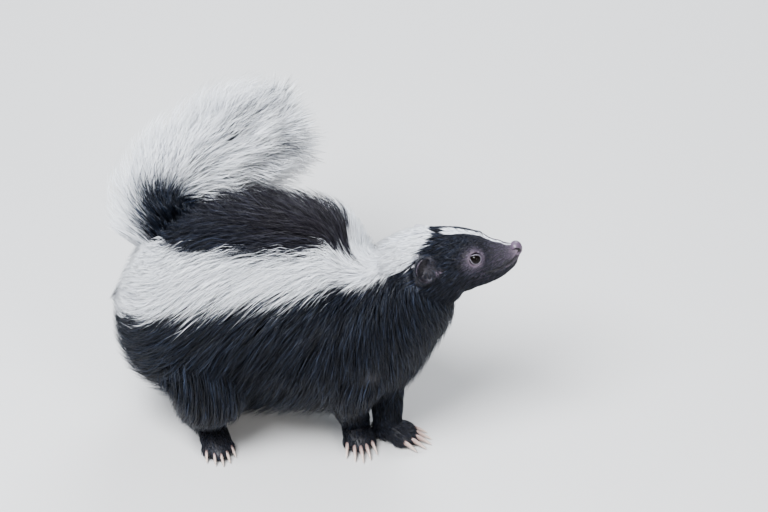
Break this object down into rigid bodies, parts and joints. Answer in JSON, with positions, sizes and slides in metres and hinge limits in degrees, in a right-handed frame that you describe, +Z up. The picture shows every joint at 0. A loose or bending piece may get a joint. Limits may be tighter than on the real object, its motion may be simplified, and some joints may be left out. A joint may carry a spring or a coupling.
{
  "type": "striped skunk",
  "caption": "Life-size striped skunk standing still, head raised to the side, bushy tail carried up and arched forward over its back",
  "frame": {"origin": "centre of the part's outline seen from above, on the floor under the soles", "axes": "+X the way the skunk faces, +Y its left side, +Z up"},
  "size_m": [0.3822, 0.2434, 0.2823],
  "materials": {
    "coat": "dense black fur with white stripes",
    "tail_hair": "long loose white hair with a dark streak",
    "nose": "bare moist skin, finely grained",
    "eye": "wet, glossy black",
    "paw": "bare dark pads and short hair, ivory claws"
  },
  "bodies": {
    "root": {"torso": "coat", "neck": "coat", "head": "coat", "tail": "tail_hair", "nose": "nose", "ear_right": "coat", "ear_left": "coat", "eye_right": "eye", "eye_left": "eye", "foreleg_right": "coat", "foreleg_left": "coat", "hindleg_right": "coat", "hindleg_left": "coat", "forepaw_right": "paw", "forepaw_left": "paw", "hindpaw_right": "paw", "hindpaw_left": "paw"}
  },
  "joints": []
}
